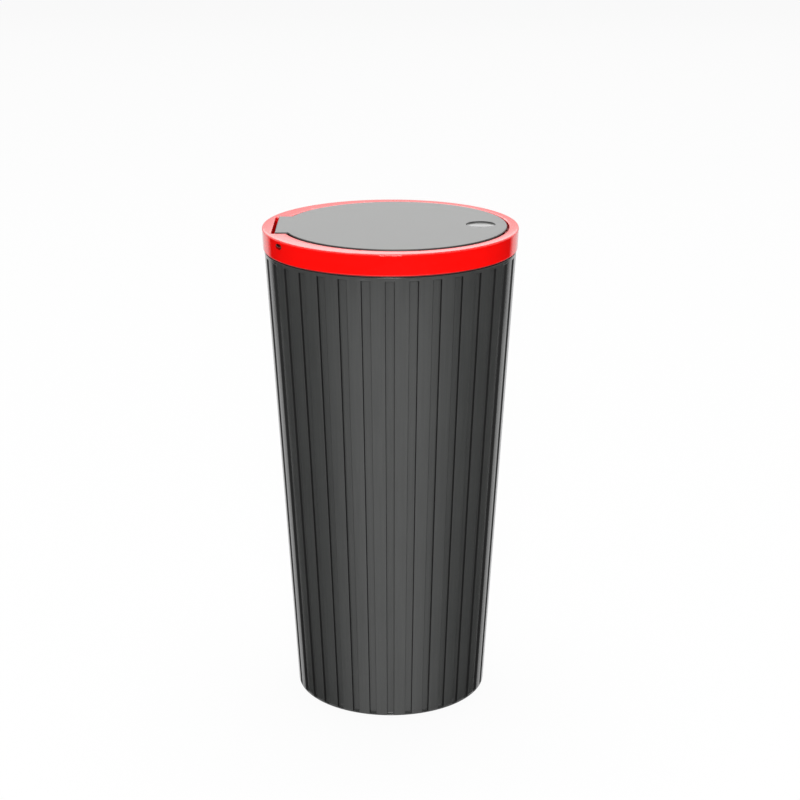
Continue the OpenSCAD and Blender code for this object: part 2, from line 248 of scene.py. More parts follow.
def turned(point, turn):
    """A plane point, turned about the origin"""
    c, s = math.cos(turn), math.sin(turn)
    return Vector((point.x * c - point.y * s, point.x * s + point.y * c))


def rounded(corners, steps=4):
    """The open path through corners (x, y, radius), with an arc of that radius at each"""
    path = []
    for i, (x, y, radius) in enumerate(corners):
        here = Vector((x, y))
        if not radius or i in (0, len(corners) - 1):
            path.append(here)
            continue
        before = (Vector(corners[i - 1][:2]) - here).normalized()
        after = (Vector(corners[i + 1][:2]) - here).normalized()
        half = before.angle(after) / 2
        centre = here + (before + after).normalized() * radius / math.sin(half)
        start = here + before * radius / math.tan(half) - centre
        side = math.copysign(1, before.y * after.x - before.x * after.y)
        sweep = side * (math.pi - 2 * half)
        path += [centre + turned(start, sweep * k / steps) for k in range(steps + 1)]
    return path


def quarter(radius, steps=3):
    """Run and rise of the points of a quarter round, from its start to its end"""
    turns = [math.pi / 2 * k / steps for k in range(steps + 1)]
    return [(radius * math.sin(a), radius * (1 - math.cos(a))) for a in turns]


def outward(outline):
    """The outward direction at each point of a closed outline that runs counter-clockwise"""
    directions = []
    for i, here in enumerate(outline):
        before = (here - outline[i - 1]).normalized()
        after = (outline[(i + 1) % len(outline)] - here).normalized()
        along = (before + after).normalized()
        directions.append(Vector((along.y, -along.x)))
    return directions


def disc_and_tab(radius, shift, half_width, reach, outer_round, inner_round, arc_steps):
    """Outline of a disc with a square tab at -X, counter-clockwise: arc, then the tab's corners"""
    meet = shift - math.sqrt(radius**2 - half_width**2)
    first = math.atan2(-half_width, meet - shift)
    arc = []
    for k in range(1, arc_steps):
        a = first + (-2 * first) * k / arc_steps
        arc.append((shift + radius * math.cos(a), radius * math.sin(a), 0))
    end = [(-reach, half_width * (1 - k / 12), 0) for k in range(1, 24)]
    tab = [
        (meet, half_width, inner_round),
        (-reach, half_width, outer_round),
        *end,
        (-reach, -half_width, outer_round),
        (meet, -half_width, inner_round),
    ]
    return rounded([*arc, *tab, arc[0]])[:-1]


def ring_of(radius, steps, centre=(0, 0)):
    """Points round a circle, counter-clockwise"""
    return [
        Vector((centre[0] + radius * math.cos(a), centre[1] + radius * math.sin(a)))
        for a in (2 * math.pi * k / steps for k in range(steps))
    ]


# Meshes


def new_piece(name, points, faces):
    """A linked object of these points and faces, welded and turned outward"""
    mesh = bpy.data.meshes.new(name)
    mesh.from_pydata([tuple(p) for p in points], [], faces)
    shape = bmesh.new()
    shape.from_mesh(mesh)
    bmesh.ops.remove_doubles(shape, verts=shape.verts, dist=WELD)
    bmesh.ops.recalc_face_normals(shape, faces=shape.faces)
    shape.to_mesh(mesh)
    shape.free()
    piece = bpy.data.objects.new(name, mesh)
    bpy.context.scene.collection.objects.link(piece)
    return piece


def loft(name, columns, closed_sections=False):
    """A surface through columns of points, closed from the last column to the first"""
    rows = len(columns[0])
    points = [p for column in columns for p in column]
    steps = rows if closed_sections else rows - 1
    faces = []
    for i in range(len(columns)):
        here, there = i * rows, (i + 1) % len(columns) * rows
        for k in range(steps):
            j = (k + 1) % rows
            faces.append((here + k, there + k, there + j, here + j))
    return new_piece(name, points, faces)


def lathe(name, section, steps, place=Matrix.Identity(4), closed=False):
    """A section of (radius, height) points turned about the Z axis, then put in place"""
    columns = []
    for k in range(steps):
        a = 2 * math.pi * k / steps
        columns.append([place @ Vector((p.x * math.cos(a), p.x * math.sin(a), p.y)) for p in section])
    return loft(name, columns, closed)


def bands(rows, count, start=0):
    """The faces between each closed row of count points and the next row"""
    faces = []
    for low in range(start, start + (rows - 1) * count, count):
        high = low + count
        steps = ((k, (k + 1) % count) for k in range(count))
        faces += [(low + k, low + j, high + j, high + k) for k, j in steps]
    return faces


def stack(name, outline, layers):
    """A solid over a closed outline: layers are (inset, height) from one flat end to the other"""
    normals = outward(outline)
    points = [(*(p - n * inset), height) for inset, height in layers for p, n in zip(outline, normals)]
    count = len(outline)
    ends = [tuple(range(count)), tuple(range(len(points) - count, len(points)))]
    return new_piece(name, points, ends + bands(len(layers), count))


def block(name, low, high):
    """A box between two corners, for cutting"""
    corners = ((low[0], low[1]), (high[0], low[1]), (high[0], high[1]), (low[0], high[1]))
    return stack(name, [Vector(corner) for corner in corners], [(0, low[2]), (0, high[2])])


def on_hinge(y):
    """The place of something turned about the hinge's axis, which starts at that Y and runs along +Y"""
    return Matrix.Translation((HINGE.x, y, HINGE.z)) @ Matrix.Rotation(-math.pi / 2, 4, "X")


def rod(name, radius, length, place, steps=64, bevel=0):
    """A cylinder from the place's origin along its Z axis"""
    section = [Vector((0, 0)), Vector((radius - bevel, 0)), Vector((radius, bevel))]
    section += [Vector((radius, length - bevel)), Vector((radius - bevel, length)), Vector((0, length))]
    return lathe(name, section, steps, place)


def sweep(name, path, radius, sides=20):
    """A round wire along a path, with slightly domed ends"""
    start_cap = ((-1, 0), (-1, 0.75), (-0.7, 0.95), (0, 1))
    end_cap = ((0, 1), (0.7, 0.95), (1, 0.75), (1, 0))
    doming = 0.3
    points = []
    side = (path[1] - path[0]).orthogonal().normalized()
    for i, here in enumerate(path):
        along = (path[min(i + 1, len(path) - 1)] - path[max(i - 1, 0)]).normalized()
        side = (side - along * side.dot(along)).normalized()
        up = along.cross(side)
        for push, size in start_cap if i == 0 else end_cap if i == len(path) - 1 else [(0, 1)]:
            centre = here + along * push * radius * doming
            points += [centre + (side * p.x + up * p.y) * size for p in ring_of(radius, sides)]
    return new_piece(name, points, bands(len(points) // sides, sides))


def hanging_plate(name, inner, outer, half, low, high, edge, face=()):
    """An upright plate between two x and two y, rounded along its sides and foot; its outer face may curve"""
    corners = [
        (inner, 0, 0),
        (inner, -half, edge),
        (outer, -half, edge),
        *face,
        (outer, half, edge),
        (inner, half, edge),
        (inner, 0, 0),
    ]
    foot = [(edge - run, low + rise) for run, rise in quarter(edge)]
    return stack(name, rounded(corners)[:-1], [*foot, (0, high)])


def combine(piece, tool, operation="DIFFERENCE"):
    """Cuts the tool out of the piece, or joins it on, and removes the tool"""
    modifier = piece.modifiers.new("combine", "BOOLEAN")
    modifier.operation = operation
    modifier.solver = "MANIFOLD"
    modifier.object = tool
    depsgraph = bpy.context.evaluated_depsgraph_get()
    mesh = bpy.data.meshes.new_from_object(piece.evaluated_get(depsgraph))
    if not mesh.polygons:
        raise RuntimeError(f"{operation} with {tool.name} left nothing of {piece.name}")
    piece.modifiers.remove(modifier)
    spent = [piece.data, tool.data]
    piece.data = mesh
    bpy.data.objects.remove(tool)
    for old in spent:
        bpy.data.meshes.remove(old)


def hand_over(piece, material, body, slot, *nodes):
    """Shades a finished piece and fixes it to the frame"""
    mesh = piece.data
    mesh.polygons.foreach_set("use_smooth", [True] * len(mesh.polygons))
    mesh.set_sharp_from_angle(angle=math.radians(35))
    weights = piece.modifiers.new("weighted_normals", "WEIGHTED_NORMAL")
    weights.keep_sharp = True
    mesh.materials.clear()
    mesh.materials.append(material)
    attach(piece, body)
    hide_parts(*nodes)


# Shaders


class Value:
    """A socket in an expression: each operator adds a Math node"""

    def __init__(self, finish, socket):
        self.finish = finish
        self.socket = socket

    def maths(self, operation, *terms):
        return self.finish.node("ShaderNodeMath", {"operation": operation}, dict(enumerate(terms)))

    def __add__(self, other):
        return self.maths("ADD", self, other)

    def __radd__(self, other):
        return self.maths("ADD", other, self)

    def __sub__(self, other):
        return self.maths("SUBTRACT", self, other)

    def __rsub__(self, other):
        return self.maths("SUBTRACT", other, self)

    def __mul__(self, other):
        return self.maths("MULTIPLY", self, other)

    def __rmul__(self, other):
        return self.maths("MULTIPLY", other, self)

    def __truediv__(self, other):
        return self.maths("DIVIDE", self, other)

    def __rtruediv__(self, other):
        return self.maths("DIVIDE", other, self)

    def clamped(self):
        return self.finish.node("ShaderNodeClamp", {}, {0: self})

    def size(self):
        return self.maths("ABSOLUTE", self)


class Finish:
    """A node tree under construction"""

    def __init__(self, tree):
        self.tree = tree
        self.tree.nodes.clear()

    def node(self, kind, settings, inputs, output=0):
        """A node of that kind: its settings first, then the values or links of its sockets"""
        made = self.tree.nodes.new(kind)
        for name, setting in settings.items():
            if name == "stops":
                ramp = made.color_ramp.elements
                for k, (position, stop) in enumerate(setting):
                    element = ramp[k] if k < len(ramp) else ramp.new(position)
                    element.position = position
                    element.color = (*stop, 1)
            else:
                setattr(made, name, setting)
        for name, value in inputs.items():
            if isinstance(value, Value):
                self.tree.links.new(value.socket, made.inputs[name])
            elif isinstance(value, tuple) and len(made.inputs[name].default_value) == 4:
                made.inputs[name].default_value = (*value, 1)
            else:
                made.inputs[name].default_value = value
        return Value(self, made.outputs[output]) if made.outputs else None

    def place(self):
        return self.node("ShaderNodeTexCoord", {}, {}, "Object")

    def noise(self, vector, scale, detail=2, roughness=0.5):
        inputs = {"Vector": vector, "Scale": scale, "Detail": detail, "Roughness": roughness}
        return self.node("ShaderNodeTexNoise", {}, inputs)

    def mix(self, factor, first, second):
        """A colour between two others"""
        return self.node("ShaderNodeMix", {"data_type": "RGBA"}, {0: factor, 6: first, 7: second}, 2)

    def vector_maths(self, operation, *terms):
        return self.node("ShaderNodeVectorMath", {"operation": operation}, dict(enumerate(terms)))

    def stretched(self, vector, scale):
        return self.vector_maths("MULTIPLY", vector, scale)

    def part_of(self, vector, axis):
        """One component of a vector"""
        return self.node("ShaderNodeSeparateXYZ", {}, {0: vector}, axis)

    def facing(self):
        """The direction that the surface faces, in the piece's own frame"""
        return self.node("ShaderNodeTexCoord", {}, {}, "Normal")

    def round_axis(self):
        """The level direction from the axis to the surface"""
        return self.vector_maths("NORMALIZE", self.stretched(self.place(), Vector((1, 1, 0))))

    def along_wall(self, reach, rise):
        """Coordinates that follow a tapered wall: round it at one radius, and slowly up it"""
        spread = self.stretched(self.round_axis(), Vector((reach, reach, 0)))
        return self.vector_maths("ADD", spread, self.stretched(self.place(), Vector((0, 0, rise))))

    def bump(self, height, strength, distance):
        inputs = {"Height": height, "Strength": strength, "Distance": distance}
        return self.node("ShaderNodeBump", {}, inputs)

    def surface(self, inputs):
        self.output(self.node("ShaderNodeBsdfPrincipled", {}, inputs))

    def matt(self, tone):
        return self.node("ShaderNodeBsdfDiffuse", {}, {"Color": (tone, tone, tone)})

    def output(self, shader, factor=None, second=None):
        """The material's surface: one shader, or a blend of two"""
        if second:
            shader = self.node("ShaderNodeMixShader", {}, {0: factor, 1: shader, 2: second})
        self.node("ShaderNodeOutputMaterial", {}, {"Surface": shader})


def new_finish(name):
    material = bpy.data.materials.new(name)
    material.use_nodes = True
    return material, Finish(material.node_tree)


def scaled(base, factor):
    return tuple(min(1, channel * factor) for channel in base)


def satin_charcoal(base):
    """Moulded charcoal plastic with fine grain and faint streaks up the wall; the flutes' side walls and the
    faces that look down get painted shade and are rougher
    """
    material, finish = new_finish("satin_charcoal")
    place = finish.place()
    streaks = finish.noise(finish.along_wall(37 * MM, 0.03), 1400, 3)
    clouds = finish.noise(place, 60, 2)
    grain = finish.noise(place, 5200, 2)
    tone = (streaks * 0.7 + clouds * 0.3 - 0.25).clamped()
    even = finish.mix(tone, scaled(base, 0.8), scaled(base, 1.25))
    facing = finish.facing()
    # Painted shade: the flutes' steep side walls, and faces that look down above the foot, take a much darker
    # base colour
    sideways = finish.part_of(finish.vector_maths("CROSS_PRODUCT", facing, finish.round_axis()), "Z")
    downward_shade = (finish.part_of(facing, "Z") * -2 - 0.5).clamped()
    above_foot = (finish.part_of(place, "Z") / (1 * MM) - 5).clamped()
    flute_wall_shade = ((sideways.size() * 2 - 0.5).clamped() + downward_shade * above_foot).clamped()
    finish.surface({
        # The base colour carries the painted shade of the flute walls
        "Base Color": finish.mix(flute_wall_shade, even, scaled(base, 0.12)),
        "Roughness": 0.12 + streaks * 0.06 + clouds * 0.03 + flute_wall_shade * 0.4,
        "Specular IOR Level": 0.45,
        "Normal": finish.bump(grain * 0.7 + streaks * 0.3, 0.35, 0.02 * MM),
    })
    return material


def glossy_red(base):
    """Polished red plastic with the slight waviness of a moulded face; faces that look down get painted shade
    and are rougher
    """
    material, finish = new_finish("glossy_red")
    place = finish.place()
    clouds = finish.noise(place, 45, 2)
    waves = finish.noise(place, 260, 1)
    dust = finish.noise(place, 3800, 2)
    # Painted shade: faces that look down, such as the ring's lower rounding, take a darker base colour
    under = (finish.part_of(finish.facing(), "Z") * -3 - 0.6).clamped()
    even = finish.mix(clouds, scaled(base, 0.94), scaled(base, 1.06))
    finish.surface({
        # The base colour carries the painted shade underneath
        "Base Color": finish.mix(under, even, scaled(base, 0.35)),
        "Roughness": 0.04 + clouds * 0.03 + dust * 0.02 + under * 0.5,
        "Specular IOR Level": 0.5,
        "Normal": finish.bump(waves, 0.12, 0.02 * MM),
    })
    return material


def grained_lid(base, dark, centre, radius):
    """Fine spark-eroded grain on top of the lid; every face that doesn't look up, such as the dimple's step,
    the edges and the underside, gets painted shade in the dark colour given

    The finger dimple, round that centre, is polished.
    """
    material, finish = new_finish("grained_lid")
    place = finish.place()
    clouds = finish.noise(place, 70, 3)
    grain = finish.noise(place, 2600, 3, 0.6)
    pits = finish.node("ShaderNodeTexVoronoi", {}, {"Vector": place, "Scale": 1900})
    tone = (clouds * 0.5 + grain * 0.5).clamped()
    # Painted shade: where the surface doesn't look up, such as the dimple's steep step and the lid's edges,
    # the base colour turns dark
    top = (finish.part_of(finish.facing(), "Z") * 8 - 7).clamped()
    level = finish.stretched(place, Vector((1, 1, 0)))
    away = finish.node("ShaderNodeVectorMath", {"operation": "DISTANCE"}, {0: level, 1: centre}, 1)
    dimple = ((radius - away) / (0.1 * MM)).clamped()
    finish.surface({
        # The base colour carries the painted shade on faces that don't look up
        "Base Color": finish.mix(top, dark, finish.mix(tone, scaled(base, 0.86), scaled(base, 1.14))),
        "Roughness": 0.34 + grain * 0.08 + clouds * 0.04 - dimple * 0.3,
        "Specular IOR Level": 0.5,
        "Normal": finish.bump(grain * 0.7 + pits * 0.3, 0.3, 0.03 * MM),
    })
    return material


def drawn_steel(name, base, stretch, rough, cut=None):
    """Drawn steel with fine lines, which stretch makes long; cut is the Y of a cut end and the colour of the
    painted shade put on it
    """
    material, finish = new_finish(name)
    place = finish.place()
    lines = finish.noise(finish.stretched(place, stretch), 9000, 3)
    clouds = finish.noise(place, 700, 2)
    bright = finish.mix(lines * 0.6 + clouds * 0.4, scaled(base, 0.82), scaled(base, 1.15))
    bare_metal = 1.0
    # Painted shade: the cut end, deep in its bore, takes a dark red-brown colour, with neither metal nor
    # gloss
    if cut:
        end, end_shade = cut
        bare_metal = ((finish.part_of(place, "Y") - end) / (0.25 * MM)).clamped()
        bright = finish.mix(bare_metal, end_shade, bright)
    finish.surface({
        "Base Color": bright,
        "Metallic": bare_metal,
        "Roughness": rough + lines * 0.12,
        "Specular IOR Level": 0.0,
        "Normal": finish.bump(lines, 0.25, 0.01 * MM),
    })
    return material


# Cup


def wall_radius(cup, height):
    """Outer radius of the cup's wall between the flutes"""
    return cup.foot_radius + (cup.mouth_radius - cup.foot_radius) * height / cup.shoulder


def flute_step(cup):
    """The step down into a flute: run before the edge line, and depth, of each point"""
    top = [(cup.edge - run, drop) for run, drop in quarter(cup.edge)]
    foot = [(-rest, cup.flute_depth - (cup.root - run)) for run, rest in quarter(cup.root)]
    return top + foot


def cup_columns(cup):
    """Angle of each column of the cup's wall, with the flute's depth there"""
    pitch = 2 * math.pi / cup.flutes
    half = cup.flute_angle / 2
    middle_radius = wall_radius(cup, cup.shoulder / 2)
    step = flute_step(cup)
    columns = []
    for i in range(cup.flutes):
        centre = pitch * i - math.pi / 2
        columns += [(centre - half - run / middle_radius, depth) for run, depth in step]
        columns += [(centre + half * k, cup.flute_depth) for k in (-0.45, 0.0, 0.45)]
        columns += [(centre + half + run / middle_radius, depth) for run, depth in reversed(step)]
        land = pitch - 2 * half
        columns += [(centre + half + land * k, 0) for k in (0.25, 0.5, 0.75)]
    return columns


def cup_section(cup):
    """Radius, height and greatest flute depth of each row, from under the floor up, over and in"""
    foot_in = cup.foot_radius - cup.foot_width
    under = rounded([
        (0, cup.foot_hollow, 0),
        (foot_in, cup.foot_hollow, 0.3 * MM),
        (foot_in, 0, 0.3 * MM),
        (cup.foot_radius - 2 * MM, 0, 0),
        (cup.foot_radius, 0, 0.2 * MM),
        (wall_radius(cup, 2 * MM), 2 * MM, 0),
    ])
    rows = [(p.x, p.y, 0) for p in under[:-1]]
    for run, depth in flute_step(cup):
        height = cup.foot_rim - run
        rows.append((wall_radius(cup, height), height, depth))
    for k in range(1, 9):
        height = cup.flute_top * k / 9
        rows.append((wall_radius(cup, height), height, cup.flute_depth))
    for run, depth in reversed(flute_step(cup)):
        height = cup.flute_top + run
        rows.append((wall_radius(cup, height), height, depth))
    inner_top = wall_radius(cup, cup.rim_top) - cup.wall
    fillet_top = cup.floor + cup.floor_round
    inner_foot = wall_radius(cup, cup.floor) - cup.wall
    over = rounded([
        (wall_radius(cup, cup.flute_top), cup.flute_top, 0),
        (cup.mouth_radius, cup.shoulder, 0.15 * MM),
        (cup.rim_radius, cup.shoulder, 0.15 * MM),
        (cup.rim_radius, cup.rim_top, 0.3 * MM),
        (inner_top, cup.rim_top, 0.3 * MM),
        (wall_radius(cup, cup.rim_top / 2) - cup.wall, cup.rim_top / 2, 0),
        (wall_radius(cup, fillet_top * 2) - cup.wall, fillet_top * 2, 0),
        (inner_foot, cup.floor, cup.floor_round),
        (inner_foot - 2 * cup.floor_round, cup.floor, 0),
        (0, cup.floor, 0),
    ], 6)
    rows += [(p.x, p.y, 0) for p in over[1:]]
    return rows


class TRASHBIN_OT_cup(bpy.types.Operator):
    """Builds the fluted cup"""

    bl_idname = "trash_bin.cup"
    bl_label = "Cup"

    def execute(self, context):
        settings = context.scene.trash_bin
        section = cup_section(settings.cup)
        columns = []
        for turn, cut in cup_columns(settings.cup):
            c, s = math.cos(turn), math.sin(turn)
            reach = [(radius - min(cut, limit), height) for radius, height, limit in section]
            columns.append([Vector((r * c, r * s, height)) for r, height in reach])
        cup = loft("fluted_cup", columns)
        hand_over(cup, satin_charcoal(settings.finishes.charcoal), "bin", "body_plastic", "bin_body")
        return {"FINISHED"}


# Ring


def pocket_outline(ring):
    """The mouth of the lid's pocket and of the hinge notch, seen from above"""
    half = ring.notch_width / 2
    outer_round, inner_round, arc_steps = 0.4 * MM, 0.25 * MM, 260
    sizes = (ring.pocket_radius, ring.pocket_shift, half, ring.notch_reach)
    return disc_and_tab(*sizes, outer_round, inner_round, arc_steps)


def pocket_point(ring, turn, spare=0):
    """The point of the round part of the pocket in that direction from the axis, and its normal"""
    ray = Vector((math.cos(turn), math.sin(turn)))
    centre = Vector((ring.pocket_shift, 0))
    ahead = centre.dot(ray)
    reach = ahead + math.sqrt(ahead**2 + (ring.pocket_radius + spare) ** 2 - centre.length_squared)
    point = ray * reach
    return point, (point - centre).normalized()


def in_rib(ring, turn):
    """Whether the channel is filled in that direction, by a stop rib or the hinge block"""
    if abs(turn) > math.pi - ring.block_angle:
        return True
    pitch = 2 * math.pi / ring.ribs
    off = (turn / pitch) % 1 - 0.5
    return abs(off * pitch) < ring.rib_width / 2 / (ring.radius - 2 * ring.skirt)


def rib_edges(ring):
    """Directions just inside and just outside each side of each rib and of the hinge block"""
    pitch = 2 * math.pi / ring.ribs
    half = ring.rib_width / 2 / (ring.radius - 2 * ring.skirt)
    sides = [math.pi - ring.block_angle, ring.block_angle - math.pi]
    for i in range(ring.ribs):
        middle = (i + 0.5) * pitch - math.pi
        sides += [middle - half, middle + half]
    hair = 0.0003
    return [side + step for side in sides for step in (-hair, hair)]


def ring_columns(ring):
    """Direction, pocket point, normal and ledge height of each column, in order round the axis"""
    outline = pocket_outline(ring)
    columns = []
    for point, normal in zip(outline, outward(outline)):
        turn = math.atan2(point.y, point.x)
        in_notch = point.x < ring.pocket_shift and abs(point.y) < ring.notch_width / 2 + 0.01 * MM
        columns.append((turn, point, normal, ring.notch_floor if in_notch else ring.ledge))
    notch_turn = min(abs(turn) for turn, point, normal, floor in columns if floor == ring.notch_floor)
    for turn in rib_edges(ring):
        if abs(turn) < notch_turn:
            columns.append((turn, *pocket_point(ring, turn), ring.ledge))
    return sorted(columns, key=lambda column: column[0])


def outer_section(ring):
    """Radius and height from the skirt's inner face round the outside to the flat top"""
    bottom = ring.crest - ring.face
    low_radius = ring.radius - ring.draft
    corner_radius = low_radius + ring.draft * ring.face / (ring.face - ring.crest_round)
    return rounded([
        (low_radius - ring.skirt, bottom + 1 * MM, 0),
        (low_radius - ring.skirt, bottom, 0.15 * MM),
        (low_radius, bottom, ring.foot_round),
        (corner_radius, ring.crest, ring.crest_round),
        (ring.radius - 2 * ring.crest_round, ring.crest, 0),
    ], 6)[:-1]


def inner_section(ring, cup, ledge, turn):
    """Radius and height from the ledge down the throat, up the spigot and round the channel"""
    inner = {h: wall_radius(cup, h) - cup.wall for h in (ring.spigot_foot, cup.rim_top)}
    bead_low = ring.spigot_foot + 1.2 * MM
    bead_radius = wall_radius(cup, bead_low) - cup.wall - 0.05 * MM
    bead_end = bead_low + 2 * ring.bead
    end_radius = wall_radius(cup, bead_end) - cup.wall - ring.spigot_gap
    core = inner[cup.rim_top] - ring.spigot_gap
    skirt_in = ring.radius - ring.draft - ring.skirt
    channel_in = max(core, pocket_point(ring, turn, ring.pocket_wall)[0].length)
    channel_top = cup.rim_top if in_rib(ring, turn) else ring.crest - ring.roof
    path = rounded([
        (ring.throat_radius + 0.5 * MM, ledge, 0),
        (ring.throat_radius, ledge, 0.2 * MM),
        (ring.throat_radius, ring.spigot_foot, 0.5 * MM),
        (inner[ring.spigot_foot] - ring.spigot_gap, ring.spigot_foot, 0.3 * MM),
        (bead_radius, bead_low, 0.2 * MM),
        (bead_radius, bead_low + ring.bead, 0.2 * MM),
        (end_radius, bead_end, 0.2 * MM),
        (core, cup.rim_top, 0),
        (core, cup.rim_top, 0),
    ])[1:-1]
    channel = [(x, z) for x in (channel_in, skirt_in) for z in (cup.rim_top, channel_top)]
    return path + [Vector(channel[k]) for k in (0, 1, 3, 2)]


def ring_column(ring, cup, column):
    """The closed section of the ring in one direction"""
    turn, mouth, normal, ledge = column
    c, s = math.cos(turn), math.sin(turn)
    section = [Vector((p.x * c, p.x * s, p.y)) for p in outer_section(ring)]
    flat_start = section[-1]
    lip = [(run, ring.crest - drop) for run, drop in quarter(ring.pocket_round, 4)]
    lip = [(ring.pocket_round - run, height) for run, height in lip]
    flat_end = (mouth + normal * ring.pocket_round).to_3d()
    flat_end.z = ring.crest
    section += [flat_start.lerp(flat_end, k / 3) for k in (1, 2)]
    for run, height in [*lip, (0, (ring.crest + ledge) / 2), (0, ledge)]:
        p = mouth + normal * run
        section.append(Vector((p.x, p.y, height)))
    section += [Vector((p.x * c, p.x * s, p.y)) for p in inner_section(ring, cup, ledge, turn)]
    return section


def ring_tools(ring, hinge):
    """The cutters of the ring: the pin's bore and the groove of the spring's fixed leg"""
    bore_length = pin_high.y + ring.radius
    bore_place = on_hinge(pin_high.y - bore_length)
    bore = rod("bore", PIN_RADIUS, bore_length, bore_place)
    slot = hinge.spring_wire + 0.4 * MM
    low_x = HINGE.x - hinge.coil_radius - slot / 2
    start_y = -(hinge.coil_length + slot) / 2
    groove = block(
        "groove",
        (low_x, start_y, HINGE.z - hinge.leg - 1 * MM),
        (low_x + 5 * MM, start_y + slot, HINGE.z),
    )
    return [bore, groove]


def tongue(ring, hinge):
    """The tongue under the dimple's side, with the hole that holds the catch wire"""
    outer = wire_high.x + 0.1 * MM
    inner = outer - ring.tongue_thickness
    half = ring.tongue_width / 2
    sag = outer - math.sqrt(outer**2 - half**2)
    face = [(outer * math.cos(a), outer * math.sin(a), 0) for a in (-0.07, -0.035, 0, 0.035, 0.07)]
    high = ring.spigot_foot + 1.5 * MM
    piece = hanging_plate("tongue", inner, outer - sag, half, ring_low.z, high, 0.3 * MM, face)
    hole_z = wire_low.z + hinge.catch_wire / 2
    hole_place = Matrix.Translation((inner - 1 * MM, 0, hole_z)) @ Matrix.Rotation(math.pi / 2, 4, "Y")
    hole_radius = hinge.catch_wire / 2 + 0.05 * MM
    combine(piece, rod("wire_hole", hole_radius, ring.tongue_thickness + 2 * MM, hole_place, 32))
    return piece


class TRASHBIN_OT_ring(bpy.types.Operator):
    """Builds the snap-on ring with its pocket, notch, channel and tongue"""

    bl_idname = "trash_bin.ring"
    bl_label = "Ring"

    def execute(self, context):
        settings = context.scene.trash_bin
        sizes = settings.ring
        columns = [ring_column(sizes, settings.cup, column) for column in ring_columns(sizes)]
        ring = loft("red_ring", columns, closed_sections=True)
        combine(ring, tongue(sizes, settings.hinge), "UNION")
        for tool in ring_tools(sizes, settings.hinge):
            combine(ring, tool)
        hand_over(ring, glossy_red(settings.finishes.red), "ring", "ring_plastic", "lid_ring")
        return {"FINISHED"}


# Lid


def lid_plate(lid, ring):
    """The disc and its tab, with the finger dimple in the top"""
    top, under = lid_high.z, lid_high.z - lid.thickness
    half = lid.tab_width / 2
    outline = disc_and_tab(lid.radius, ring.pocket_shift, half, -lid_low.x, 0.4 * MM, 0.15 * MM, 240)
    normals = outward(outline)
    drafts = [0 if abs(p.y) < half + 0.2 * MM and p.x < 0 else 1 for p in outline]
    rows = [(lid.edge - run, top - drop, 0) for run, drop in quarter(lid.edge, 4)]
    rows += [(0.15 * MM - run, under + rise, 1) for run, rise in reversed(quarter(0.15 * MM, 2))]
    points = []
    for inset, height, drafted in rows:
        for p, n, own in zip(outline, normals, drafts):
            q = p - n * (inset + lid.draft * own * drafted)
            points.append(Vector((q.x, q.y, height)))
    count = len(outline)
    faces = [*bands(len(rows), count), tuple(range(len(points) - count, len(points)))]
    dimple = dimple_section(lid, top)
    centre_x = ring.pocket_shift + lid.radius - lid.dimple_inset
    steps = 96
    rim_start = len(points)
    for p in dimple:
        points += [q.to_3d() + Vector((0, 0, p.y)) for q in ring_of(p.x, steps, (centre_x, 0))]
    faces += bands(len(dimple), steps, rim_start)
    rim = points[rim_start : rim_start + steps]
    index = [*range(count), *range(rim_start, rim_start + steps)]
    triangles = tessellate_polygon([points[:count], rim])
    faces += [tuple(index[i] for i in triangle) for triangle in triangles]
    return new_piece("flap_lid", points, faces)


def dimple_section(lid, top):
    """Radius and height from the flat top down the steep step to the middle of the dished floor"""
    floor_radius = lid.dimple_radius - lid.dimple_run
    dish = lid.dimple_depth - lid.dimple_step
    shares = [k / 10 for k in range(9, -1, -1)]
    floor = [(floor_radius * share, top - lid.dimple_depth + dish * share**2, 0) for share in shares]
    return rounded([
        (lid.dimple_radius + 0.3 * MM, top, 0),
        (lid.dimple_radius, top, 0.1 * MM),
        (floor_radius, top - lid.dimple_step, 0.1 * MM),
        *floor,
    ])


def stiffening_rib(lid, ring, under):
    """The rib under the lid, left out round the hinge"""
    outer = lid.radius - lid.rib_inset
    inner = outer - lid.rib_thickness
    low, high = under - lid.rib_height, under + 0.3 * MM
    section = rounded([
        (inner, high, 0),
        (inner, low, 0.3 * MM),
        (outer, low, 0.3 * MM),
        (outer, high, 0),
    ])
    rib = lathe("rib", section, 192, Matrix.Translation((ring.pocket_shift, 0, 0)), closed=True)
    half, spare, gap = ring.notch_width / 2, 1 * MM, 10 * MM
    combine(rib, block("gap", (-ring.radius, -half, low - spare), (HINGE.x + gap, half, high + spare)))
    return rib


def knuckle(hinge, lid, side):
    """One knuckle of the hinge and the web that joins it to the tab"""
    start = side * (lid.tab_width - hinge.knuckle_length) / 2 - hinge.knuckle_length / 2
    place = on_hinge(start)
    barrel = rod("knuckle", hinge.knuckle_radius, hinge.knuckle_length, place, 64, 0.15 * MM)
    web = block(
        "web",
        (HINGE.x, start, HINGE.z),
        (HINGE.x + hinge.knuckle_radius, start + hinge.knuckle_length, lid_high.z - lid.edge),
    )
    combine(barrel, web, "UNION")
    return barrel


def catch_blade(lid, under):
    """The blade that hangs from the lid and carries the cam track"""
    outer, half = lid.blade_place, lid.blade_width / 2
    inner = outer - lid.blade_thickness
    return hanging_plate("blade", inner, outer, half, lid_low.z, under + 0.3 * MM, 0.2 * MM)


